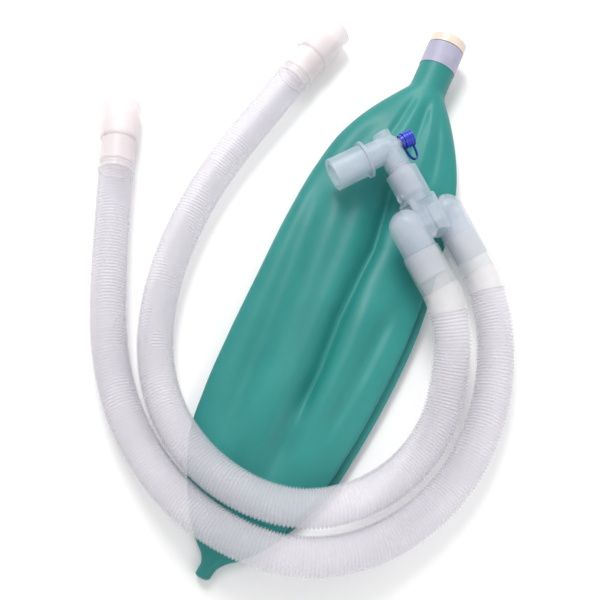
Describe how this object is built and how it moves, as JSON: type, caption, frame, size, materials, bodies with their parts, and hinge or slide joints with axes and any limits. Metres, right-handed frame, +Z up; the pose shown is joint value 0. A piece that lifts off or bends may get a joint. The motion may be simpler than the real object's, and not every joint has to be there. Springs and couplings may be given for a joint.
{
  "type": "anaesthesia breathing circuit",
  "caption": "Corrugated breathing hoses joined by a parallel Y-piece and capped patient elbow, with a separate rubber reservoir bag lying under them.",
  "frame": {"origin": "on the table under the middle of the bag, Y-piece and elbow (bottom centre of their box, hoses and cuffs left out)", "axes": "+Z up from the table; +Y along the bag from its tail to its neck"},
  "size_m": [0.3444, 0.413, 0.0594],
  "materials": {
    "bag_rubber": "satin",
    "band_lilac": "satin",
    "bush_cream": "satin",
    "hose_clear": "satin",
    "cuff_white": "satin",
    "cuff_clear": "satin",
    "frosted_clear": "frosted",
    "cap_blue": "gloss"
  },
  "bodies": {
    "bag": {"bag_upper_wall": "bag_rubber", "bag_lower_wall": "bag_rubber", "bag_neck": "bag_rubber", "bag_neck_band": "band_lilac", "bag_neck_bush": "bush_cream"},
    "limbs": {"hose_a": "hose_clear", "hose_b": "hose_clear", "machine_cuff_a": "cuff_white", "machine_cuff_b": "cuff_white", "machine_collar_a": "cuff_white", "machine_collar_b": "cuff_white", "patient_cuff_a": "cuff_clear", "patient_cuff_b": "cuff_clear", "patient_collar_a": "cuff_white", "patient_collar_b": "cuff_white"},
    "y_body": {"y_piece": "frosted_clear"},
    "swivel": {"swivel_sleeve": "frosted_clear"},
    "elbow_body": {"elbow": "frosted_clear"},
    "ring": {"cap_ring": "cap_blue", "cap_strap": "cap_blue"},
    "cap": {"port_cap": "cap_blue"}
  },
  "joints": [
    {"name": "circuit_lift", "type": "slide", "parent": "bag", "child": "limbs", "axis": [0, 0, 1], "range_m": [0, 0.12]},
    {"name": "y_pull", "type": "slide", "parent": "limbs", "child": "y_body", "axis": [-0.776, 0.6063, 0.1736], "range_m": [0, 0.018]},
    {"name": "elbow_pull", "type": "slide", "parent": "y_body", "child": "swivel", "axis": [-0.776, 0.6063, 0.1736], "range_m": [0, 0.016]},
    {"name": "elbow_swivel", "type": "hinge", "parent": "swivel", "child": "elbow_body", "pos_m": [-0.01917, 0.09091, 0.04663], "axis": [-0.776, 0.6063, 0.1736], "range_deg": [0, 170]},
    {"name": "cap_turn", "type": "hinge", "parent": "elbow_body", "child": "ring", "pos_m": [-0.01301, 0.09879, 0.04663], "axis": [0.6157, 0.788, 0], "range_deg": [-90, 90]},
    {"name": "cap_pull", "type": "slide", "parent": "ring", "child": "cap", "axis": [0.6157, 0.788, 0], "range_m": [0, 0.006]}
  ]
}
